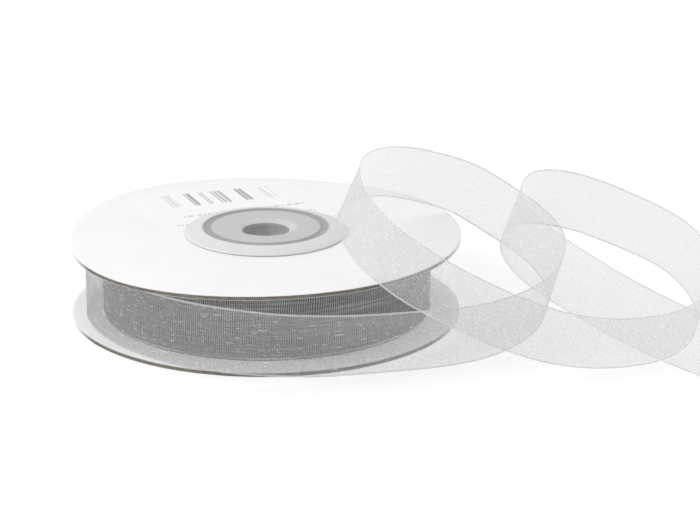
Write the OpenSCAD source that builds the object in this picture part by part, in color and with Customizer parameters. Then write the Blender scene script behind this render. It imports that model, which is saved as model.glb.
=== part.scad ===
// Ribbon reel: two white-faced board discs clamped on a plastic core by two snap-in hub
// caps, wound with sheer ribbon whose outer end is pulled off in two loose loops.
// Millimetres, +Z up along the reel's axis. The reel lies flat on its lower hub cap at z = 0.

/* [Discs] */
// Diameter of both discs
disc_d = 75; // [60:1:100]
// Thickness of the grey board in a disc
board_t = 0.6; // [0.4:0.1:1.5]
// Thickness of the white paper on each side of the board
paper_t = 0.1; // [0.05:0.05:0.2]
// Clear height between the two discs
disc_gap = 13.9; // [13:0.1:20]
// Hole through both discs
disc_hole_d = 24.6; // [24.5:0.1:24.8]

/* [Hub] */
// Outer diameter of a hub cap
cap_d = 31.2; // [28:0.1:40]
// Diameter of the raised ring on a cap
crest_d = 24.6; // [24.4:0.1:26]
// Diameter of the flat web inside that ring
web_d = 20.8; // [18:0.1:21]
// Height of a cap above its disc
cap_h = 1.2; // [1:0.1:2]
// Bore for a spindle
bore_d = 9; // [6:0.5:10]
// Wall of the spindle tube
tube_wall = 1.1; // [0.8:0.1:1.5]
// Outside diameter of the plug on a cap
plug_d = 24.2; // [24:0.1:24.4]
// Length of the plug below its disc
plug_len = 4; // [3:0.5:6]
// Outside diameter of the core that the ribbon is wound on
core_d = 27.2; // [26.6:0.1:32]

/* [Ribbon] */
// Width of the ribbon
ribbon_w = 12.5; // [10:0.5:12.5]
// Diameter of the wound ribbon
pack_d = 63; // [40:1:66]
// Thickness of the free ribbon
ribbon_t = 0.25; // [0.2:0.05:0.4]
// Radius that the loosened turn reaches at the side away from the loops
slack_r = 34.5; // [33:0.5:36]

/* [Label] */
// Width of the label
label_w = 35; // [20:1:36]
// Height of the label
label_h = 27; // [15:1:28]
// Thickness of the label
label_t = 0.1; // [0.05:0.05:0.2]
// Corner radius of the label
label_corner = 2; // [0.5:0.5:4]
// Distance from the reel's axis to the middle of the label
label_offset = 18; // [17:0.5:19]
// Turn of the label about the reel's axis
label_turn = 24; // [0:1:60]

/* [Hidden] */
$fn = 128;

disc_t = board_t + 2 * paper_t;
lower_disc_z = cap_h;
channel_z = lower_disc_z + disc_t;
upper_disc_z = channel_z + disc_gap;
top_z = upper_disc_z + disc_t + cap_h;
middle_z = top_z / 2;

// The snap: a bead round each plug sits in a groove inside the core.
snap_depth = 2.6;
bead_h = 0.2;
snap_play = 0.1;
core_bore_d = plug_d + snap_play;
bead_reach = 0.6;

// Hub cap section
rim_h = 0.3;
moat_h = 0.3;
moat_w = 0.35;
web_t = 0.9;
web_drop = 0.05;
crest_w = 0.4;
plug_wall = 1.2;
plug_lead = 0.3;
funnel_r = bore_d / 2 + 1.5;
funnel_h = 0.7;
tube_gap = 0.2;

// The tape that holds the first turn on the core
tape_t = 0.1;
tape_angle = 50;
pack_bore_d = core_d + 2 * tape_t + 0.1;
pack_play = 0.1;

// Route of the free ribbon. Each point is [x, y, z, lean to +X, lean to -Y]: the place of
// the ribbon's lower edge in mm, and the tilt of its width from upright in degrees.
lift = 0.25;
turn_step = 30;
turn_end = 240;
// A smooth curve runs inside the points that lead it round a circle, by this factor.
lead = 3 / (2 + cos(turn_step));
slack_start = 60;
start_r = pack_d / 2 + 0.35;
function slack_radius(a) =
    start_r + (slack_r - start_r) * max(0, a - slack_start) / (180 - slack_start);
loose_turn = [
    for (a = [0 : turn_step : turn_end])
        let (r = slack_radius(a) * lead)
        [r * cos(a), r * sin(a), channel_z, 0, 0]
];
loops = [
    [-5, -39, 2, 1, 5],
    [10, -38, 1, 3, 11],
    [25, -34, 1, 4, 13],
    [38, -28, 0, 5, 14],
    [48, -21, 1, 7, 15],
    [54, -11, 3, 10, 17],
    [55, 1, 6, 14, 19],
    [49, 10, 10, 18, 21],
    [37, 13, 16, 22, 22],
    [24, 9, 22, 24, 20],
    [14, -3, 24, 21, 17],
    [13, -18, 22, 18, 17],
    [20, -33, 17, 16, 18],
    [35, -38, 10, 16, 21],
    [52, -35, 2, 14, 24],
    [67, -30, 0, 11, 23],
    [78, -23, 0, 8, 23],
    [83, -14, 4, 8, 23],
    [79, -5, 10, 12, 23],
    [68, 0, 14, 15, 22],
    [56, -2, 19, 17, 18],
    [46, -7, 21, 18, 14],
    [43, -16, 19, 16, 11],
    [46, -29, 17, 13, 10],
    [55, -43, 15, 8, 12],
    [68, -51, 10, 4, 16],
    [83, -56, 6, 2, 17],
    [98, -57, 2, 2, 16],
    [112, -54, 0, 2, 14],
    [126, -49, 0, 2, 12],
];
route = concat(loose_turn, loops);
rings_per_point = 3;

function smooth(p, i, t) = (
    pow(1 - t, 3) * p[i]
    + (3 * pow(t, 3) - 6 * t * t + 4) * p[i + 1]
    + (-3 * pow(t, 3) + 3 * t * t + 3 * t + 1) * p[i + 2]
    + pow(t, 3) * p[i + 3]
) / 6;
function place(q) = [q[0], q[1], q[2] + lift];
function width_way(q) = [sin(q[3]), -sin(q[4]) * cos(q[3]), cos(q[4]) * cos(q[3])];
function unit(v) = v / norm(v);

// A disc-shaped layer with the hub's hole in it
module layer(z, t) {
    translate([0, 0, z])
        difference() {
            cylinder(d = disc_d, h = t);
            translate([0, 0, -1]) cylinder(d = disc_hole_d, h = t + 2);
        }
}

module upper_face_paper() {
    color([0.97, 0.97, 0.97]) layer(upper_disc_z + disc_t - paper_t, paper_t);
}

module upper_board() {
    color([0.62, 0.58, 0.52]) layer(upper_disc_z + paper_t, board_t);
}

module upper_lining_paper() {
    color([0.93, 0.93, 0.92]) layer(upper_disc_z, paper_t);
}

module lower_lining_paper() {
    color([0.93, 0.93, 0.92]) layer(lower_disc_z + disc_t - paper_t, paper_t);
}

module lower_board() {
    color([0.62, 0.58, 0.52]) layer(lower_disc_z + paper_t, board_t);
}

module lower_face_paper() {
    color([0.97, 0.97, 0.97]) layer(lower_disc_z, paper_t);
}

// Section of a hub cap, with the disc's outer face at y = 0 and the reel's middle below.
// The web has a funnel round the mouth of the bore, and a moat outside it.
module cap_section() {
    inside = -(middle_z - cap_h) + tube_gap / 2;
    plug_end = -disc_t - plug_len;
    bead_y = -disc_t - snap_depth;
    polygon([
        [bore_d / 2, inside],
        [bore_d / 2 + tube_wall, inside],
        [bore_d / 2 + tube_wall, cap_h - web_t],
        [plug_d / 2 - plug_wall, cap_h - web_t],
        [plug_d / 2 - plug_wall, plug_end],
        [plug_d / 2 - plug_lead, plug_end],
        [plug_d / 2, plug_end + 2 * plug_lead],
        [plug_d / 2, bead_y - bead_reach],
        [plug_d / 2 + bead_h, bead_y],
        [plug_d / 2, bead_y + bead_reach],
        [plug_d / 2, label_t],
        [cap_d / 2, label_t],
        [cap_d / 2, label_t + rim_h],
        [crest_d / 2 + crest_w, cap_h - web_drop],
        [crest_d / 2, cap_h],
        [crest_d / 2 - crest_w, cap_h - web_drop],
        [crest_d / 2 - crest_w - moat_w, cap_h - moat_h],
        [web_d / 2 + moat_w, cap_h - moat_h],
        [web_d / 2, cap_h - web_drop],
        [funnel_r, cap_h - web_drop],
        [bore_d / 2, cap_h - web_drop - funnel_h],
    ]);
}

module cap_body() {
    rotate_extrude() cap_section();
}

module upper_hub_cap() {
    color([0.86, 0.87, 0.88]) translate([0, 0, upper_disc_z + disc_t]) cap_body();
}

module lower_hub_cap() {
    color([0.86, 0.87, 0.88])
        translate([0, 0, lower_disc_z]) mirror([0, 0, 1]) cap_body();
}

module core() {
    groove_r = plug_d / 2 + bead_h + snap_play / 2;
    color([0.8, 0.81, 0.82])
        translate([0, 0, channel_z])
        rotate_extrude()
        difference() {
            translate([core_bore_d / 2, 0])
                square([(core_d - core_bore_d) / 2, disc_gap]);
            for (y = [snap_depth, disc_gap - snap_depth])
                polygon([
                    [core_bore_d / 2 - 1, y - 1],
                    [core_bore_d / 2, y - bead_reach - 0.1],
                    [groove_r, y],
                    [core_bore_d / 2, y + bead_reach + 0.1],
                    [core_bore_d / 2 - 1, y + 1],
                ]);
        }
}

module start_tape() {
    color([0.9, 0.9, 0.86])
        translate([0, 0, channel_z + pack_play])
        rotate_extrude(angle = tape_angle)
        translate([core_d / 2, 0]) square([tape_t, ribbon_w]);
}

module ribbon_pack() {
    color([0.55, 0.56, 0.58])
        translate([0, 0, channel_z + pack_play])
        rotate_extrude()
        translate([pack_bore_d / 2, 0])
        square([(pack_d - pack_bore_d) / 2, ribbon_w]);
}

// Flat band with one end on the pack: four corners at each ring along the route
module ribbon_tail() {
    last = len(route) - 4;
    spots = [
        for (i = [0 : last])
            for (k = [0 : rings_per_point - 1])
                smooth(route, i, k / rings_per_point),
        smooth(route, last, 1)
    ];
    count = len(spots);
    corners = [
        for (i = [0 : count - 1])
            let (
                before = place(spots[max(0, i - 1)]),
                after = place(spots[min(count - 1, i + 1)]),
                w = width_way(spots[i]),
                n = unit(cross(after - before, w)) * ribbon_t / 2,
                low = place(spots[i]),
                high = low + w * ribbon_w
            )
            each [low - n, low + n, high + n, high - n]
    ];
    sides = [
        for (i = [0 : count - 2])
            for (k = [0 : 3])
                let (
                    a = 4 * i + k,
                    b = 4 * i + (k + 1) % 4
                )
                each [[a, b, b + 4], [a, b + 4, a + 4]]
    ];
    start = [[0, 2, 1], [0, 3, 2]];
    end_ring = 4 * (count - 1);
    end = [
        [end_ring, end_ring + 1, end_ring + 2],
        [end_ring, end_ring + 2, end_ring + 3],
    ];
    color([0.75, 0.76, 0.78]) polyhedron(points = corners, faces = concat(sides, start, end));
}

module label_outline() {
    translate([-label_w / 2, label_corner - label_h / 2])
        square([label_w, label_h - 2 * label_corner]);
    translate([label_corner - label_w / 2, -label_h / 2])
        square([label_w - 2 * label_corner, label_h]);
    for (x = [-1, 1])
        for (y = [-1, 1])
            translate([x * (label_w / 2 - label_corner), y * (label_h / 2 - label_corner)])
                circle(r = label_corner);
}

// The hub's hole is punched through the label too, so its lower edge runs under the cap.
module label() {
    color([1, 1, 1])
        translate([0, 0, upper_disc_z + disc_t])
        difference() {
            rotate([0, 0, label_turn])
                translate([0, label_offset, 0])
                linear_extrude(label_t) label_outline();
            translate([0, 0, -1]) cylinder(d = disc_hole_d, h = label_t + 2);
        }
}

upper_face_paper();
upper_board();
upper_lining_paper();
lower_lining_paper();
lower_board();
lower_face_paper();
upper_hub_cap();
lower_hub_cap();
core();
start_tape();
ribbon_pack();
ribbon_tail();
label();
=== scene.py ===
import math

import bmesh
import bpy
from mathutils import Matrix, Vector, noise


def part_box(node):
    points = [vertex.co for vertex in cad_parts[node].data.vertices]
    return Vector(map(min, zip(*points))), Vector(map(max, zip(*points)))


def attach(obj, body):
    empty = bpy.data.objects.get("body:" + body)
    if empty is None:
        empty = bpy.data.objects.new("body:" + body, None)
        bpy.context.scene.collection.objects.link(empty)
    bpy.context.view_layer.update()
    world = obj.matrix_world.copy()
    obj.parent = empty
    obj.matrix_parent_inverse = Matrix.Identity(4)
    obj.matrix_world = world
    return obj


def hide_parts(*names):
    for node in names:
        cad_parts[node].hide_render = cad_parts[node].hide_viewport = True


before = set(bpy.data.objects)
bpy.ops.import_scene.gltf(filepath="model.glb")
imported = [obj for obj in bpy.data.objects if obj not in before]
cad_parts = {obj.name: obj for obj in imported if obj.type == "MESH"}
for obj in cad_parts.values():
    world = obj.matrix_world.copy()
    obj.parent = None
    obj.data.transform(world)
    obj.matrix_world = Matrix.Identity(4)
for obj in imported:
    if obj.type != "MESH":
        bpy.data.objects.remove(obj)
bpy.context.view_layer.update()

MM = 0.001


# ---------------------------------------------------------------- sizes from the frame

def level(node, top):
    """Height of a node's top or bottom, in mm."""
    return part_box(node)[1 if top else 0].z / MM


def radius(node):
    """Outer radius of a round node, in mm."""
    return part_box(node)[1].x / MM


DISC_R = radius("upper_board")
HOLE_R = 12.3
CAP_R = radius("upper_hub_cap")
MIDDLE_Z = level("upper_hub_cap", True) / 2
BORE_R = 4.5
PACK_R = radius("ribbon_pack")
PACK_BORE_R = 13.75
RIBBON_W = 12.5
CHANNEL_Z = level("lower_lining_paper", True)
LABEL_TURN = math.radians(24)
LABEL_W, LABEL_H, LABEL_OFFSET, LABEL_CORNER = 35, 27, 18, 2
LABEL_T = 0.04
# The printed bars, none of which can be read: [left, width, darkness], mm along the label.
LABEL_BARS = [
    (-11.3, 0.3, 0.5), (-10.6, 0.4, 0.5), (-9.9, 0.3, 0.5), (-6.6, 0.4, 0.9), (-6.0, 0.7, 1),
    (-3.4, 0.3, 0.8), (-2.9, 0.3, 0.8), (-0.9, 0.4, 0.8), (-0.2, 0.5, 0.8), (0.6, 0.8, 0.8),
    (4.4, 0.6, 1), (5.2, 0.8, 1), (9.2, 0.2, 0.5), (9.8, 0.4, 0.5), (11.2, 0.2, 0.4),
]
# Rows of dashes that can't be read either: [height on the label, half height, left, right], mm.
LABEL_ROWS = [(15.2, 0.6, -11.5, 14.5), (10.0, 0.5, -14.5, 14.5)]
# The upper disc isn't flat: each wave round it is [number of waves, height, turn], mm and degrees.
BENDS = [(1, 0.43, 57), (2, 0.41, -38), (3, 0.27, 25)]


# ---------------------------------------------------------------- camera, light and floor

def make_camera():
    data = bpy.data.cameras.new("camera")
    data.sensor_width = 36
    data.lens = 113.1
    data.clip_start, data.clip_end = 0.01, 10
    camera = bpy.data.objects.new("camera", data)
    bpy.context.scene.collection.objects.link(camera)
    place = Vector((0.0162, -0.40395, 0.14298))
    down = Matrix.Rotation(math.radians(90 - 18.08), 3, "X")
    roll = Matrix.Rotation(math.radians(0.3), 3, "Z")
    camera.matrix_world = Matrix.Translation(place) @ (down @ roll).to_4x4()
    bpy.context.scene.camera = camera


def area_light(name, place, target, size, watts):
    data = bpy.data.lights.new(name, "AREA")
    data.shape = "SQUARE"
    data.size = size
    data.energy = watts
    light = bpy.data.objects.new(name, data)
    light.location = place
    aim = Vector(target) - Vector(place)
    light.rotation_euler = aim.to_track_quat("-Z", "Y").to_euler()
    bpy.context.scene.collection.objects.link(light)


def make_studio():
    world = bpy.data.worlds.new("studio")
    bpy.context.scene.world = world
    world.use_nodes = True
    sky = world.node_tree.nodes["Background"]
    sky.inputs["Color"].default_value = (1, 1, 1, 1)
    sky.inputs["Strength"].default_value = 0.86
    area_light("left softbox", (-0.6, -0.22, 0.38), (0.0, 0, 0.01), 0.4, 1.9)
    scene = bpy.context.scene
    scene.view_settings.view_transform = "Standard"
    scene.cycles.transparent_max_bounces = 48


# ---------------------------------------------------------------- building materials

def put(tree, kind, feeds=(), **settings):
    """Adds a node. feeds gives each input, by name or number, a value or another node's output."""
    made = tree.nodes.new("ShaderNode" + kind)
    for key, value in settings.items():
        setattr(made, key, value)
    for key, value in dict(feeds).items():
        if isinstance(value, bpy.types.NodeSocket):
            tree.links.new(value, made.inputs[key])
        else:
            made.inputs[key].default_value = value
    return made


def calc(tree, operation, a, b=0.0, c=0.0):
    return put(tree, "Math", {0: a, 1: b, 2: c}, operation=operation).outputs[0]


def stretch(tree, value, low, high, to_low=0.0, to_high=1.0, soft=False):
    """Maps low..high to to_low..to_high."""
    return put(
        tree,
        "MapRange",
        {"Value": value, "From Min": low, "From Max": high, "To Min": to_low, "To Max": to_high},
        interpolation_type="SMOOTHSTEP" if soft else "LINEAR",
    ).outputs[0]


def add(tree, a, b):
    return calc(tree, "ADD", a, b)


def times(tree, a, b):
    return calc(tree, "MULTIPLY", a, b)


def vector(tree, *parts):
    return put(tree, "CombineXYZ", dict(enumerate(parts))).outputs[0]


def noise_at(tree, place, **settings):
    """Noise over a vector, about 0.5."""
    return put(tree, "TexNoise", {"Vector": place, "Scale": 1.0, **settings}).outputs[0]


def noise_along(tree, distance, detail=2.0):
    """Noise over one value, about 0.5."""
    feeds = {"W": distance, "Scale": 1.0, "Detail": detail}
    return put(tree, "TexNoise", feeds, noise_dimensions="1D").outputs[0]


def blend_colours(tree, share, a, b):
    return put(tree, "MixRGB", {0: share, 1: a, 2: b}).outputs[0]


def grey(value, blue=0.0):
    """A neutral colour, or one slightly bluer."""
    return (value, value, value + blue, 1)


def new_group(name, inputs, outputs):
    tree = bpy.data.node_groups.new(name, "ShaderNodeTree")
    for socket, kind, value in inputs:
        made = tree.interface.new_socket(name=socket, in_out="INPUT", socket_type="NodeSocket" + kind)
        made.default_value = value
    for socket, kind in outputs:
        tree.interface.new_socket(name=socket, in_out="OUTPUT", socket_type="NodeSocket" + kind)
    return tree, tree.nodes.new("NodeGroupInput"), tree.nodes.new("NodeGroupOutput")


def use_group(tree, group, feeds=()):
    return put(tree, "Group", feeds, node_tree=group)


def new_material(name, **sockets):
    material = bpy.data.materials.new(name)
    material.use_nodes = True
    tree = material.node_tree
    shader = tree.nodes["Principled BSDF"]
    for key, value in sockets.items():
        shader.inputs[key.replace("_", " ")].default_value = value
    return material, tree, shader


def drive(tree, shader, **wires):
    for key, output in wires.items():
        tree.links.new(output, shader.inputs[key.replace("_", " ")])


def bump(tree, shader, height, depth, strength=1.0):
    """depth is in metres."""
    made = put(tree, "Bump", {"Height": height, "Distance": depth, "Strength": strength})
    tree.links.new(made.outputs[0], shader.inputs["Normal"])


# ---------------------------------------------------------------- shared effects

def make_weave_group():
    """Plain weave of fine threads over a surface measured in mm."""
    tree, given, out = new_group(
        "open weave",
        [
            ("Across", "Float", 0),
            ("Along", "Float", 0),
            ("Pitch", "Float", 0.42),
            ("Thread", "Float", 0.2),
        ],
        [("Cover", "Float"), ("Height", "Float"), ("Weft", "Float")],
    )
    softness = 0.12
    ways = []
    for name in ("Across", "Along"):
        turns = calc(tree, "DIVIDE", given.outputs[name], given.outputs["Pitch"])
        peak = times(tree, calc(tree, "PINGPONG", turns, 0.5), 2.0)
        edge = calc(tree, "SUBTRACT", 1.0, given.outputs["Thread"])
        low, high = calc(tree, "SUBTRACT", edge, softness), add(tree, edge, softness)
        ways.append(stretch(tree, peak, low, high, soft=True))
    cover = calc(tree, "MAXIMUM", ways[0], ways[1])
    height = add(tree, ways[0], ways[1])
    tree.links.new(cover, out.inputs["Cover"])
    tree.links.new(height, out.inputs["Height"])
    tree.links.new(ways[1], out.inputs["Weft"])
    return tree


def make_streak_group():
    """Threads that catch the light: short bright dashes that run along the ribbon, in mm."""
    tree, given, out = new_group(
        "bright threads",
        [("Across", "Float", 0), ("Along", "Float", 0), ("Share", "Float", 0.3)],
        [("Streak", "Float"), ("Cloud", "Float")],
    )
    across, along = given.outputs["Across"], given.outputs["Along"]
    fine_place = vector(tree, times(tree, across, 4.6), times(tree, along, 0.45))
    fine = noise_at(tree, fine_place, Detail=2.0, Roughness=0.6)
    wide_place = vector(tree, times(tree, across, 0.35), times(tree, along, 0.07))
    cloud = noise_at(tree, wide_place, Detail=1.0)
    cut = calc(tree, "SUBTRACT", 0.72, times(tree, given.outputs["Share"], 0.4))
    streak = stretch(tree, fine, cut, add(tree, cut, 0.12), soft=True)
    tree.links.new(streak, out.inputs["Streak"])
    tree.links.new(cloud, out.inputs["Cloud"])
    return tree


def make_mottle_group():
    """Slow unevenness over a whole piece, about 0.5, from Object coordinates."""
    tree, given, out = new_group(
        "mottle", [("Scale", "Float", 100.0), ("Detail", "Float", 3.0)], [("Value", "Float")]
    )
    where = put(tree, "TexCoord").outputs["Object"]
    made = noise_at(tree, where, Scale=given.outputs["Scale"], Detail=given.outputs["Detail"])
    tree.links.new(made, out.inputs["Value"])
    return tree


def make_lines_group():
    """Long threads that lie closer here and there, along the ribbon, in mm."""
    tree, given, out = new_group(
        "thread lines", [("Across", "Float", 0), ("Along", "Float", 0)], [("Value", "Float")]
    )
    across, along = times(tree, given.outputs["Across"], 2.6), times(tree, given.outputs["Along"], 0.05)
    tree.links.new(noise_at(tree, vector(tree, across, along), Detail=2.0), out.inputs["Value"])
    return tree


def make_axis_group():
    """Radius, way round and height of a point on the reel, in mm and radians."""
    tree, _, out = new_group(
        "round the axis", [], [("Radius", "Float"), ("Turn", "Float"), ("Height", "Float")]
    )
    parts = put(tree, "SeparateXYZ", {0: put(tree, "TexCoord").outputs["Object"]})
    x, y, z = (calc(tree, "DIVIDE", parts.outputs[k], MM) for k in range(3))
    far = calc(tree, "SQRT", add(tree, times(tree, x, x), times(tree, y, y)))
    tree.links.new(far, out.inputs["Radius"])
    tree.links.new(calc(tree, "ARCTAN2", y, x), out.inputs["Turn"])
    tree.links.new(z, out.inputs["Height"])
    return tree


def make_side_light_group():
    """Painted light on a disc's cut edge, strongest at its two sides, left and right."""
    tree, given, out = new_group("painted light at the sides", [("Turn", "Float", 0)], [("Share", "Float")])
    side = calc(tree, "ABSOLUTE", calc(tree, "COSINE", given.outputs["Turn"]))
    tree.links.new(stretch(tree, side, 0.83, 0.98, 0.0, 0.85, soft=True), out.inputs["Share"])
    return tree


WEAVE = make_weave_group()
STREAKS = make_streak_group()
MOTTLE = make_mottle_group()
LINES = make_lines_group()
AXIS = make_axis_group()
SIDE_LIGHT = make_side_light_group()


def round_the_axis(tree):
    """Radius, way round and height of a point."""
    return use_group(tree, AXIS).outputs


def mottle(tree, scale, detail):
    return use_group(tree, MOTTLE, {"Scale": scale, "Detail": detail}).outputs[0]


def painted_light_at_the_sides(tree, turn):
    return use_group(tree, SIDE_LIGHT, {"Turn": turn}).outputs[0]


# ---------------------------------------------------------------- materials

def make_face_paper(name, white, rough, cut, cut_share):
    """cut is the colour of the sheet's cut edge, and cut_share how much of it shows."""
    material, tree, shader = new_material(name, Specular_IOR_Level=0.3)
    slow = mottle(tree, 60.0, 2.0)
    fine = mottle(tree, 900.0, 4.0)
    far, turn, _ = round_the_axis(tree)
    rim = stretch(tree, far, DISC_R - 0.25, DISC_R, soft=True)
    # painted light: the cut edge's dark colour is held back at the two sides
    rim = times(tree, rim, calc(tree, "SUBTRACT", 1.0, painted_light_at_the_sides(tree, turn)))
    dark = tuple(c * 0.97 for c in white[:3]) + (1,)
    paper = blend_colours(tree, stretch(tree, slow, 0.35, 0.65), dark, white)
    drive(tree, shader, Base_Color=blend_colours(tree, times(tree, rim, cut_share), paper, cut))
    drive(tree, shader, Roughness=stretch(tree, fine, 0.3, 0.7, rough - 0.06, rough + 0.06))
    bump(tree, shader, fine, 0.00002, 0.4)
    return material


def make_board():
    material, tree, shader = new_material("grey_board", Roughness=0.9, Specular_IOR_Level=0.2)
    far, turn, z = round_the_axis(tree)
    around = times(tree, turn, DISC_R)
    spot = vector(tree, times(tree, around, 0.8), times(tree, z, 7.0), far)
    fibre = noise_at(tree, spot, Detail=5.0, Roughness=0.7)
    shade = stretch(tree, fibre, 0.3, 0.7)
    pulp = blend_colours(tree, shade, (0.08, 0.072, 0.066, 1), (0.27, 0.245, 0.22, 1))
    # painted light: the board's cut edge turns pale at the two sides
    painted_side_light = painted_light_at_the_sides(tree, turn)
    drive(tree, shader, Base_Color=blend_colours(tree, painted_side_light, pulp, (0.88, 0.87, 0.86, 1)))
    bump(tree, shader, fibre, 0.0001, 0.8)
    return material


def make_hub_plastic():
    material, tree, shader = new_material(
        "hub_plastic", Subsurface_Weight=0.25, Subsurface_Scale=0.002, Specular_IOR_Level=0.45
    )
    shader.inputs["Subsurface Radius"].default_value = (1, 1, 1)
    far, _, z = round_the_axis(tree)
    slow = mottle(tree, 120.0, 2.0)
    fine = mottle(tree, 2500.0, 2.0)
    # painted light and shade through the thin plastic: the collar painted lighter over the disc, the web
    # darker over the hollow
    lit_over_board = stretch(tree, far, 11.2, 12.8, soft=True)
    # painted shade: a dark ring in the groove between the collar and the web
    moat_shade_starts = stretch(tree, far, 10.2, 10.7, soft=True)
    moat_shade_ends = stretch(tree, far, 12.5, 11.9, soft=True)
    # painted light on the funnel round the hole, lighter than the web
    in_mouth = stretch(tree, far, 6.2, 5.6)
    # painted shade on the bore's wall, darkest near the two faces
    in_tube = stretch(tree, far, BORE_R + 0.12, BORE_R + 0.02)
    from_middle = calc(tree, "ABSOLUTE", calc(tree, "SUBTRACT", z, MIDDLE_Z))
    bore_shade_near_ends = stretch(tree, from_middle, MIDDLE_Z - 7, MIDDLE_Z - 1)
    web, collar, painted_moat_shade, lit_mouth = grey(0.52, 0.002), grey(0.72, 0.002), grey(0.33, 0.002), grey(0.6, 0.002)
    colour = blend_colours(tree, lit_over_board, web, collar)
    colour = blend_colours(tree, times(tree, moat_shade_starts, moat_shade_ends), colour, painted_moat_shade)
    colour = blend_colours(tree, in_mouth, colour, lit_mouth)
    tube = blend_colours(tree, bore_shade_near_ends, grey(0.85), grey(0.34))
    colour = blend_colours(tree, in_tube, colour, tube)
    milky = stretch(tree, slow, 0.3, 0.7, 0.0, 0.06)
    drive(tree, shader, Base_Color=blend_colours(tree, milky, colour, grey(1)))
    drive(tree, shader, Roughness=stretch(tree, slow, 0.3, 0.7, 0.36, 0.46))
    bump(tree, shader, fine, 0.00002, 0.3)
    return material


def make_tape():
    material, tree, shader = new_material("tape", Specular_IOR_Level=0.5)
    _, turn, z = round_the_axis(tree)
    lines = noise_at(tree, vector(tree, times(tree, z, 3.0), turn), Scale=2.0)
    drive(tree, shader, Base_Color=blend_colours(tree, lines, (0.72, 0.7, 0.6, 1), (0.86, 0.85, 0.8, 1)))
    drive(tree, shader, Roughness=stretch(tree, lines, 0.3, 0.7, 0.15, 0.3))
    return material


def make_wound_ribbon():
    material, tree, shader = new_material("wound_ribbon", Specular_IOR_Level=0.3, Sheen_Weight=0.15)
    _, turn, z = round_the_axis(tree)
    around = times(tree, turn, PACK_R)
    along = add(tree, around, times(tree, mottle(tree, 90.0, 2.0), 1.2))
    weave = use_group(tree, WEAVE, {"Across": z, "Along": along, "Thread": 0.35})
    streaks = use_group(tree, STREAKS, {"Across": z, "Along": around, "Share": 0.32})
    lines = use_group(tree, LINES, {"Across": z, "Along": around})
    deep = blend_colours(tree, streaks.outputs["Cloud"], grey(0.062, 0.001), grey(0.132, 0.002))
    threads = times(tree, weave.outputs["Cover"], 0.2)
    threads = add(tree, threads, times(tree, weave.outputs["Weft"], 0.7))
    woven = blend_colours(tree, threads, deep, grey(0.34, 0.003))
    layered = stretch(tree, lines.outputs[0], 0.5, 0.66, 0.0, 0.35)
    layered = blend_colours(tree, layered, woven, grey(0.5, 0.003))
    # painted highlight: the glints of the bright threads are painted paler
    lit = times(tree, streaks.outputs["Streak"], 0.35)
    colour = blend_colours(tree, lit, layered, grey(0.7, 0.004))
    drive(tree, shader, Base_Color=colour)
    drive(tree, shader, Roughness=stretch(tree, streaks.outputs["Streak"], 0, 1, 0.65, 0.3))
    bump(tree, shader, weave.outputs["Height"], 0.00004, 0.5)
    return material


def make_wound_edges():
    material, tree, shader = new_material("wound_edges", Roughness=0.7, Specular_IOR_Level=0.25)
    far, _, _ = round_the_axis(tree)
    depth = add(tree, far, times(tree, mottle(tree, 60.0, 2.0), 0.5))
    layers = noise_along(tree, times(tree, depth, 5.0))
    shade = stretch(tree, layers, 0.3, 0.7)
    drive(tree, shader, Base_Color=blend_colours(tree, shade, grey(0.24, 0.002), grey(0.56, 0.004)))
    bump(tree, shader, layers, 0.0001, 0.6)
    return material


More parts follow.
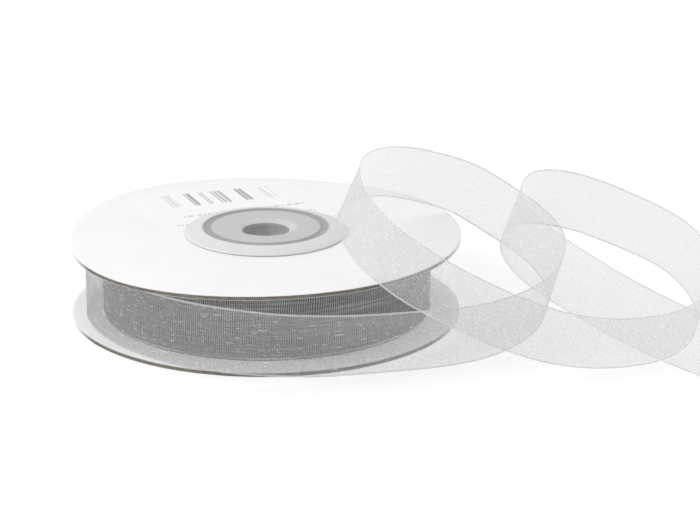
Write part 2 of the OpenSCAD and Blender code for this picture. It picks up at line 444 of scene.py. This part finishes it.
def make_free_ribbon():
    material, tree, shader = new_material("free_ribbon", Specular_IOR_Level=0.35, Sheen_Weight=0.1)
    spot = put(tree, "SeparateXYZ", {0: put(tree, "UVMap", uv_map="ribbon").outputs[0]})
    across = calc(tree, "DIVIDE", spot.outputs[0], MM)
    along = calc(tree, "DIVIDE", spot.outputs[1], MM)
    drift = noise_at(tree, vector(tree, times(tree, across, 0.12), times(tree, along, 0.08)), Detail=2.0)
    wefts = add(tree, along, times(tree, drift, 1.6))
    warps = add(tree, across, times(tree, drift, 0.5))
    weave = use_group(tree, WEAVE, {"Across": warps, "Along": wefts, "Thread": 0.16})
    streak = use_group(tree, STREAKS, {"Across": across, "Along": along, "Share": 0.35}).outputs["Streak"]
    lines = use_group(tree, LINES, {"Across": across, "Along": along})
    from_middle = calc(tree, "ABSOLUTE", calc(tree, "SUBTRACT", across, RIBBON_W / 2))
    selvedge = stretch(tree, from_middle, RIBBON_W / 2 - 0.34, RIBBON_W / 2 - 0.24)

    # how much of a spot the threads cover
    woven = add(tree, times(tree, weave.outputs["Cover"], 0.05), times(tree, weave.outputs["Weft"], 0.08))
    open_cloth = add(tree, woven, stretch(tree, lines.outputs[0], 0.35, 0.65, 0.15, 0.185))
    facing = put(tree, "LayerWeight", {"Blend": 0.5}).outputs["Facing"]
    closing = times(tree, times(tree, facing, facing), 0.3)
    body = add(tree, calc(tree, "MAXIMUM", open_cloth, times(tree, streak, 0.38)), closing)
    cover = calc(tree, "MAXIMUM", body, times(tree, selvedge, 0.45))

    threads_grey = blend_colours(tree, selvedge, grey(0.74, 0.003), grey(0.78, 0.003))
    # painted highlight: the glints of the bright threads are painted near white
    drive(tree, shader, Base_Color=blend_colours(tree, streak, threads_grey, grey(0.95)))
    drive(tree, shader, Roughness=stretch(tree, streak, 0, 1, 0.65, 0.3))
    bump(tree, shader, weave.outputs["Height"], 0.00003, 0.4)

    # what passes through a thread, least in the bright threads and the selvedge's stitches
    lit_through = put(tree, "BsdfTranslucent", {"Color": grey(0.88, 0.002)})
    stitch = stretch(tree, noise_along(tree, times(tree, along, 1.6)), 0.5, 0.62, 0.35, 1.0)
    stitch = times(tree, selvedge, stitch)
    shine = calc(tree, "MAXIMUM", times(tree, weave.outputs["Weft"], 0.35), streak)
    through = stretch(tree, calc(tree, "MAXIMUM", shine, stitch), 0.0, 1.0, 0.9, 0.2)
    threads = put(tree, "MixShader", {0: through, 1: shader.outputs[0], 2: lit_through.outputs[0]})
    gaps = put(tree, "BsdfTransparent", {"Color": grey(0.96)})
    cloth = put(tree, "MixShader", {0: cover, 1: gaps.outputs[0], 2: threads.outputs[0]})
    tree.links.new(cloth.outputs[0], tree.nodes["Material Output"].inputs["Surface"])
    return material


def make_label_print():
    """Plain white sticker with a row of bars and two rows of dashes, none of which can be read."""
    material, tree, shader = new_material("label_print", Specular_IOR_Level=0.3)
    where = put(tree, "TexCoord").outputs["Object"]
    turned_back = put(
        tree,
        "Mapping",
        {"Vector": where, "Rotation": (0, 0, LABEL_TURN), "Scale": (MM, MM, MM)},
        vector_type="TEXTURE",
    )
    x, y, _ = put(tree, "SeparateXYZ", {0: turned_back.outputs[0]}).outputs
    reach = 12.0
    bars = put(tree, "ValToRGB", {0: stretch(tree, x, -reach, reach)})
    ramp = bars.color_ramp
    ramp.interpolation = "CONSTANT"
    ramp.elements.remove(ramp.elements[1])
    ramp.elements[0].color = (0, 0, 0, 1)
    for left, width, dark in LABEL_BARS:
        for at, shade in ((left, dark), (left + width, 0)):
            made = ramp.elements.new((at + reach) / (2 * reach))
            made.color = (shade, shade, shade, 1)

    def near(value, middle, reach):
        off = calc(tree, "ABSOLUTE", calc(tree, "SUBTRACT", value, middle))
        return calc(tree, "LESS_THAN", off, reach)

    ink = times(tree, bars.outputs[0], near(y, 25.3, 3.9))
    for row, height, left, right in LABEL_ROWS:
        in_row = times(tree, near(y, row, height), near(x, (left + right) / 2, (right - left) / 2))
        dashes = noise_along(tree, add(tree, times(tree, x, 1.1), row), 1.0)
        mark = times(tree, calc(tree, "GREATER_THAN", dashes, 0.47), 0.45)
        ink = calc(tree, "MAXIMUM", ink, times(tree, in_row, mark))
    drive(tree, shader, Base_Color=blend_colours(tree, ink, grey(0.935), grey(0.38, 0.004)))
    drive(tree, shader, Roughness=stretch(tree, mottle(tree, 700.0, 2.0), 0.3, 0.7, 0.28, 0.36))
    return material


def make_floor_paint():
    material, tree, shader = new_material("studio_floor", Roughness=0.9, Specular_IOR_Level=0.0)
    drive(tree, shader, Base_Color=blend_colours(tree, mottle(tree, 6.0, 1.0), grey(0.49), grey(0.51)))
    shader.inputs["Emission Color"].default_value = (1, 1, 1, 1)
    shader.inputs["Emission Strength"].default_value = 0.55
    return material


# ---------------------------------------------------------------- modelling helpers

def turned(name, section, steps):
    """A round piece: a closed half section of [radius, height] in mm, spun about the reel's axis."""
    bpy.ops.object.select_all(action="DESELECT")
    start_r, start_z = section[0]
    bpy.ops.mesh.primitive_plane_add(size=MM, location=(start_r * MM, 0, start_z * MM))
    piece = bpy.context.object
    piece.name = piece.data.name = name
    bpy.ops.object.transform_apply(location=True, rotation=True, scale=True)
    bpy.ops.object.mode_set(mode="EDIT")
    bpy.ops.mesh.select_all(action="SELECT")
    bpy.ops.mesh.merge(type="CENTER")
    for (r0, z0), (r1, z1) in zip(section, section[1:]):
        step = ((r1 - r0) * MM, 0, (z1 - z0) * MM)
        bpy.ops.mesh.extrude_region_move(TRANSFORM_OT_translate={"value": step})
    shape = bmesh.from_edit_mesh(piece.data)
    for vertex in shape.verts:
        vertex.select_set(len(vertex.link_edges) < 2)
    shape.select_flush(True)
    bpy.ops.mesh.edge_face_add()
    bpy.ops.mesh.select_all(action="SELECT")
    bpy.ops.mesh.spin(steps=steps, angle=2 * math.pi, center=(0, 0, 0), axis=(0, 0, 1))
    bpy.ops.mesh.select_all(action="SELECT")
    bpy.ops.mesh.remove_doubles(threshold=MM * 0.002)
    bpy.ops.mesh.normals_make_consistent(inside=False)
    bpy.ops.object.mode_set(mode="OBJECT")
    return piece


def finish(piece, stands_for, materials):
    for material in materials:
        piece.data.materials.append(material)
    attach(piece, "root")
    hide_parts(stands_for)


def smooth_shading(piece, angle):
    bpy.ops.object.select_all(action="DESELECT")
    piece.select_set(True)
    bpy.context.view_layer.objects.active = piece
    bpy.ops.object.shade_smooth_by_angle(angle=math.radians(angle))


def uneven(piece, how):
    """Moves each vertex by how(place in mm), a step in mm."""
    for vertex in piece.data.vertices:
        vertex.co += Vector(how(vertex.co / MM)) * MM


def outward(place, step):
    flat = Vector((place.x, place.y, 0))
    return flat.normalized() * step if flat.length else flat


# ---------------------------------------------------------------- discs

def bend_up(place):
    """The upper disc's height above flat at a place in mm: none under the cap, most at the rim."""
    far = max(0.0, (math.hypot(place.x, place.y) - CAP_R) / (DISC_R - CAP_R))
    turn = math.atan2(place.y, place.x)
    return far**1.3 * sum(h * math.cos(n * (turn - math.radians(at))) for n, h, at in BENDS)


def disc_layer(name, node, edge, wave, material, bent=False):
    """One layer of a disc. edge is how far its rims are rounded, wave how ragged they are."""
    low, high = level(node, False), level(node, True)
    thick = high - low
    e = min(edge, thick * 0.45)
    radii = [HOLE_R + e, 16, 20, 24, 28, 31, 34, 36, DISC_R - 0.6, DISC_R - e]
    section = [[r, low] for r in radii]
    section += [[DISC_R - e * 0.3, low + e * 0.3], [DISC_R, low + e]]
    section += [[DISC_R, high - e], [DISC_R - e * 0.3, high - e * 0.3]]
    section += [[r, high] for r in reversed(radii)]
    section += [[HOLE_R + e * 0.3, high - e * 0.3], [HOLE_R, high - e]]
    section += [[HOLE_R, low + e], [HOLE_R + e * 0.3, low + e * 0.3]]
    piece = turned(name, section, 256)

    def rag(place):
        far = math.hypot(place.x, place.y)
        near_rim = max(0.0, 1 - (DISC_R - far) / 0.7)
        step = -abs(noise.noise(Vector((place.x * 0.9, place.y * 0.9, place.z * 4.0)))) * wave
        return outward(place, step * near_rim)

    uneven(piece, rag)
    if bent:
        uneven(piece, lambda place: (0, 0, bend_up(place)))
    finish(piece, node, materials=[material])
    smooth_shading(piece, 40)


# ---------------------------------------------------------------- label

def label_sticker():
    """A sheet with round corners, punched with the disc and bent with it."""
    low = level("label", False)
    high = low + LABEL_T
    bpy.ops.object.select_all(action="DESELECT")
    bpy.ops.mesh.primitive_plane_add(size=MM, location=(0, LABEL_OFFSET * MM, high * MM))
    piece = bpy.context.object
    piece.name = piece.data.name = "label_sticker"
    piece.scale = (LABEL_W, LABEL_H, 1)
    bpy.ops.object.transform_apply(location=True, rotation=True, scale=True)
    bpy.ops.object.mode_set(mode="EDIT")
    bpy.ops.mesh.select_all(action="SELECT")
    bpy.ops.mesh.bevel(offset=LABEL_CORNER * MM, segments=6, affect="VERTICES")
    for k in range(-LABEL_W, LABEL_W + 1, 2):
        for plane in ((1, 0, 0), (0, 1, 0)):
            bpy.ops.mesh.select_all(action="SELECT")
            bpy.ops.mesh.bisect(plane_co=(k * MM / 2, LABEL_OFFSET * MM + k * MM / 2, 0), plane_no=plane)
    bpy.ops.mesh.select_all(action="SELECT")
    bpy.ops.transform.rotate(value=-LABEL_TURN, orient_axis="Z", center_override=(0, 0, 0))
    shape = bmesh.from_edit_mesh(piece.data)
    punched = [f for f in shape.faces if all(v.co.xy.length < HOLE_R * MM for v in f.verts)]
    bmesh.ops.delete(shape, geom=punched, context="FACES")
    for vertex in shape.verts:
        if vertex.co.xy.length < HOLE_R * MM:
            vertex.co.xy = vertex.co.xy.normalized() * HOLE_R * MM
    bmesh.update_edit_mesh(piece.data)
    bpy.ops.mesh.select_all(action="SELECT")
    bpy.ops.mesh.remove_doubles(threshold=MM * 0.01)
    bpy.ops.mesh.select_all(action="SELECT")
    bpy.ops.mesh.extrude_region_move(TRANSFORM_OT_translate={"value": (0, 0, (low - high) * MM)})
    bpy.ops.mesh.select_all(action="SELECT")
    bpy.ops.mesh.normals_make_consistent(inside=False)
    bpy.ops.object.mode_set(mode="OBJECT")
    uneven(piece, lambda place: (0, 0, bend_up(place)))
    finish(piece, "label", materials=[LABEL_PRINT])
    smooth_shading(piece, 30)


# ---------------------------------------------------------------- hub caps

def hub_cap(name, node, up):
    disc_face = level("upper_face_paper", True) if up else level("lower_face_paper", False)
    way = 1 if up else -1
    inside = -abs(disc_face - MIDDLE_Z) + 0.1
    plug_r, plug_end = 12.1, -4.8
    half = [
        [BORE_R, inside], [5.45, inside], [5.6, inside + 0.15],
        [5.6, -0.3], [5.75, 0.1], [6.0, 0.3], [10.4, 0.3], [10.75, 0.15], [10.9, -0.2],
        [10.9, plug_end + 0.15], [11.05, plug_end], [11.8, plug_end], [11.95, plug_end + 0.1],
        [plug_r, plug_end + 0.6], [plug_r, -4.0], [plug_r + 0.12, -3.6], [plug_r + 0.2, -3.4],
        [plug_r + 0.12, -3.2], [plug_r, -2.8], [plug_r, -0.05], [plug_r + 0.15, 0.1],
        [13.2, 0.1], [14.4, 0.1], [CAP_R - 0.12, 0.1], [CAP_R, 0.16], [CAP_R - 0.02, 0.33],
        [CAP_R - 0.18, 0.46], [15.0, 0.62], [14.2, 0.83], [13.4, 1.01], [12.9, 1.12], [12.6, 1.17],
        [12.3, 1.2], [12.05, 1.17], [11.9, 1.1], [11.75, 0.98], [11.6, 0.92], [11.35, 0.9],
        [10.95, 0.9], [10.8, 0.92], [10.68, 1.0], [10.55, 1.1], [10.35, 1.15], [9.5, 1.15],
        [8.0, 1.15], [6.4, 1.15], [6.1, 1.14], [5.9, 1.08], [5.6, 0.95], [5.2, 0.76],
        [4.8, 0.57], [4.6, 0.46], [BORE_R, 0.36], [BORE_R, -0.5],
    ]
    section = [[r, disc_face + way * h] for r, h in half]
    piece = turned(name, section, 160)
    finish(piece, node, materials=[HUB_PLASTIC])
    smooth_shading(piece, 50)


# ---------------------------------------------------------------- wound ribbon

def wound_ribbon():
    low, high = level("ribbon_pack", False), level("ribbon_pack", True)
    ridges = 34
    step = (PACK_R - PACK_BORE_R) / ridges
    top, bottom = [], []
    for k in range(ridges):
        r = PACK_BORE_R + step * k
        up = high - 0.22 * abs(noise.noise(Vector((k * 0.37, 3.1, 0))))
        down = low + 0.22 * abs(noise.noise(Vector((k * 0.41, 9.7, 0))))
        for share, sink in ((0.05, 0.3), (0.3, 0.0), (0.7, 0.02)):
            top.append([r + step * share, up - sink])
            bottom.append([r + step * share, down + sink])
    wall = [[PACK_R - 0.02, low + 0.5 + k * (high - low - 1) / 8] for k in range(9)]
    section = bottom + wall + top[::-1]
    piece = turned("wound_ribbon", section, 192)

    def slack(place):
        far = math.hypot(place.x, place.y)
        outer = max(0.0, (far - PACK_R + 1.5) / 1.5)
        turn = math.atan2(place.y, place.x)
        sway = noise.noise(Vector((math.cos(turn) * 2.2, math.sin(turn) * 2.2, place.z * 0.12)))
        return outward(place, -0.12 * abs(sway) * outer)

    uneven(piece, slack)
    finish(piece, "ribbon_pack", materials=[WOUND_RIBBON, WOUND_EDGES])
    for face in piece.data.polygons:
        outer = math.hypot(*face.center[:2]) / MM > PACK_R - 0.4
        face.material_index = 0 if outer and abs(face.normal.z) < 0.3 else 1
    smooth_shading(piece, 50)


# ---------------------------------------------------------------- free ribbon

# The route of part.scad: [x, y, z, lean to +X, lean to -Y], mm and degrees.
LIFT = 0.25
TURN_STEP, TURN_END = 30, 240
LEAD = 3 / (2 + math.cos(math.radians(TURN_STEP)))
SLACK_START, SLACK_R = 60, 34.5
START_R = PACK_R + 0.35
LOOPS = [
    [-5, -39, 2, 1, 5], [10, -38, 1, 3, 11], [25, -34, 1, 4, 13], [38, -28, 0, 5, 14],
    [48, -21, 1, 7, 15], [54, -11, 3, 10, 17], [55, 1, 6, 14, 19], [49, 10, 10, 18, 21],
    [37, 13, 16, 22, 22], [24, 9, 22, 24, 20], [14, -3, 24, 21, 17], [13, -18, 22, 18, 17],
    [20, -33, 17, 16, 18], [35, -38, 10, 16, 21], [52, -35, 2, 14, 24], [67, -30, 0, 11, 23],
    [78, -23, 0, 8, 23], [83, -14, 4, 8, 23], [79, -5, 10, 12, 23], [68, 0, 14, 15, 22],
    [56, -2, 19, 17, 18], [46, -7, 21, 18, 14], [43, -16, 19, 16, 11], [46, -29, 17, 13, 10],
    [55, -43, 15, 8, 12], [68, -51, 10, 4, 16], [83, -56, 6, 2, 17], [98, -57, 2, 2, 16],
    [112, -54, 0, 2, 14], [126, -49, 0, 2, 12],
]
RINGS_PER_POINT = 14
COLUMNS = 10
CLOTH_T = 0.09
CORD_W, CORD_T = 0.13, 0.07
# Where the ribbon comes down past the bent upper disc's rim, and the lift that keeps it clear, mm.
CROSSING, CROSSING_LIFT, CROSSING_REACH = Vector((36, 12)), 0.7, 40


def slack_radius(angle):
    return START_R + (SLACK_R - START_R) * max(0, angle - SLACK_START) / (180 - SLACK_START)


def ribbon_route():
    """The route, led in by the last stretch of the wound ribbon, from just under its surface."""
    lead_in = [(-120, PACK_R - 1.2), (-90, PACK_R - 0.8), (-60, PACK_R - 0.35), (-30, PACK_R)]
    turn = lead_in + [(a, slack_radius(a)) for a in range(0, TURN_END + 1, TURN_STEP)]
    points = []
    for angle, r in turn:
        a = math.radians(angle)
        points.append([r * LEAD * math.cos(a), r * LEAD * math.sin(a), CHANNEL_Z, 0, 0])
    return points + LOOPS


def smooth(points, i, t):
    weights = (
        (1 - t) ** 3,
        3 * t**3 - 6 * t * t + 4,
        -3 * t**3 + 3 * t * t + 3 * t + 1,
        t**3,
    )
    return [sum(w * p[k] for w, p in zip(weights, points[i : i + 4])) / 6 for k in range(5)]


def over_the_rim(x, y, z):
    """The lift at the crossing, for the stretch that is well above the lower disc."""
    off = (Vector((x, y)) - CROSSING).length_squared
    return CROSSING_LIFT * math.exp(-off / CROSSING_REACH) if z > 8 else 0.0


def free_ribbon():
    points = ribbon_route()
    spans = len(points) - 3
    steps = [k / RINGS_PER_POINT for k in range(RINGS_PER_POINT)]
    spots = [smooth(points, i, t) for i in range(spans) for t in steps]
    spots.append(smooth(points, spans - 1, 1))
    lows, ways = [], []
    for x, y, z, lean_x, lean_y in spots:
        a, b = math.radians(lean_x), math.radians(lean_y)
        lows.append(Vector((x, y, z + LIFT + over_the_rim(x, y, z))))
        ways.append(Vector((math.sin(a), -math.sin(b) * math.cos(a), math.cos(b) * math.cos(a))))
    last = len(spots) - 1
    middles = [low + way * RIBBON_W / 2 for low, way in zip(lows, ways)]
    run = [0.0]
    for a, b in zip(middles, middles[1:]):
        run.append(run[-1] + (b - a).length)
    normals = []
    for i in range(last + 1):
        ahead = middles[min(last, i + 1)] - middles[max(0, i - 1)]
        normals.append(ahead.cross(ways[i]).normalized())

    shape = bmesh.new()
    layer = shape.loops.layers.uv.new("ribbon")
    marks = {}

    def point(place, across, along):
        vertex = shape.verts.new(place * MM)
        marks[vertex] = (across * MM, along * MM)
        return vertex

    def skin(rows):
        """A closed tube over rows of points, one row for each ring of the route."""
        for one, two in zip(rows, rows[1:]):
            count = len(one)
            for k in range(count):
                shape.faces.new((one[k], one[(k + 1) % count], two[(k + 1) % count], two[k]))
        shape.faces.new(rows[0][::-1])
        shape.faces.new(rows[-1])

    def ripple(i, k):
        return 0.16 * noise.noise(Vector((run[i] / 9, k * 0.9, 0)))

    # the cloth: two faces a thread apart, closed at the sides and the ends
    rows = []
    for i in range(last + 1):
        ring = []
        for side in (1, -1):
            order = range(COLUMNS + 1) if side == 1 else range(COLUMNS, -1, -1)
            for k in order:
                across = RIBBON_W * k / COLUMNS
                edge = abs(2 * k / COLUMNS - 1) ** 3
                off = edge * ripple(i, k) + side * CLOTH_T / 2
                place = lows[i] + ways[i] * across + normals[i] * off
                ring.append(point(place, across, run[i]))
        rows.append(ring)
    skin(rows)

    # the selvedges: a fine cord of threads along each side
    for k in (0, COLUMNS):
        across = RIBBON_W * k / COLUMNS
        in_selvedge = 0.05 if k == 0 else RIBBON_W - 0.05
        rows = []
        for i in range(last + 1):
            centre = lows[i] + ways[i] * across + normals[i] * ripple(i, k)
            ring = []
            for q in range(6):
                turn = 2 * math.pi * q / 6
                place = centre + ways[i] * math.cos(turn) * CORD_W + normals[i] * math.sin(turn) * CORD_T
                ring.append(point(place, in_selvedge, run[i]))
            rows.append(ring)
        skin(rows)

    bmesh.ops.recalc_face_normals(shape, faces=shape.faces)
    for face in shape.faces:
        face.smooth = True
        for loop in face.loops:
            loop[layer].uv = marks[loop.vert]
    mesh = bpy.data.meshes.new("free_ribbon")
    shape.to_mesh(mesh)
    shape.free()
    piece = bpy.data.objects.new("free_ribbon", mesh)
    bpy.context.scene.collection.objects.link(piece)
    finish(piece, "ribbon_tail", materials=[FREE_RIBBON])
    smooth_shading(piece, 60)


# ---------------------------------------------------------------- floor

def floor():
    bpy.ops.object.select_all(action="DESELECT")
    bpy.ops.mesh.primitive_plane_add(size=6, location=(0, 0, -0.00002))
    piece = bpy.context.object
    piece.name = "studio_floor"
    bpy.ops.object.transform_apply(location=True, rotation=True, scale=True)
    piece.data.materials.append(make_floor_paint())


# ---------------------------------------------------------------- the reel

make_camera()
make_studio()

FACE_PAPER = make_face_paper("face_paper", (0.93, 0.93, 0.93, 1), 0.45, (0.62, 0.6, 0.57, 1), 0.4)
LINING_PAPER = make_face_paper("lining_paper", (0.96, 0.96, 0.955, 1), 0.7, (0.3, 0.285, 0.27, 1), 0.75)
GREY_BOARD = make_board()
HUB_PLASTIC = make_hub_plastic()
TAPE = make_tape()
WOUND_RIBBON = make_wound_ribbon()
WOUND_EDGES = make_wound_edges()
FREE_RIBBON = make_free_ribbon()
LABEL_PRINT = make_label_print()

disc_layer("upper_disc_face", "upper_face_paper", 0.045, 0.05, FACE_PAPER, bent=True)
disc_layer("upper_disc_board", "upper_board", 0.08, 0.12, GREY_BOARD, bent=True)
disc_layer("upper_disc_lining", "upper_lining_paper", 0.02, 0.05, LINING_PAPER, bent=True)
disc_layer("lower_disc_lining", "lower_lining_paper", 0.045, 0.05, LINING_PAPER)
disc_layer("lower_disc_board", "lower_board", 0.08, 0.12, GREY_BOARD)
disc_layer("lower_disc_face", "lower_face_paper", 0.02, 0.05, FACE_PAPER)
hub_cap("upper_cap", "upper_hub_cap", True)
hub_cap("lower_cap", "lower_hub_cap", False)
label_sticker()
wound_ribbon()
free_ribbon()

for node, material in (("core", HUB_PLASTIC), ("start_tape", TAPE)):
    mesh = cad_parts[node].data
    mesh.materials.clear()
    mesh.materials.append(material)

floor()
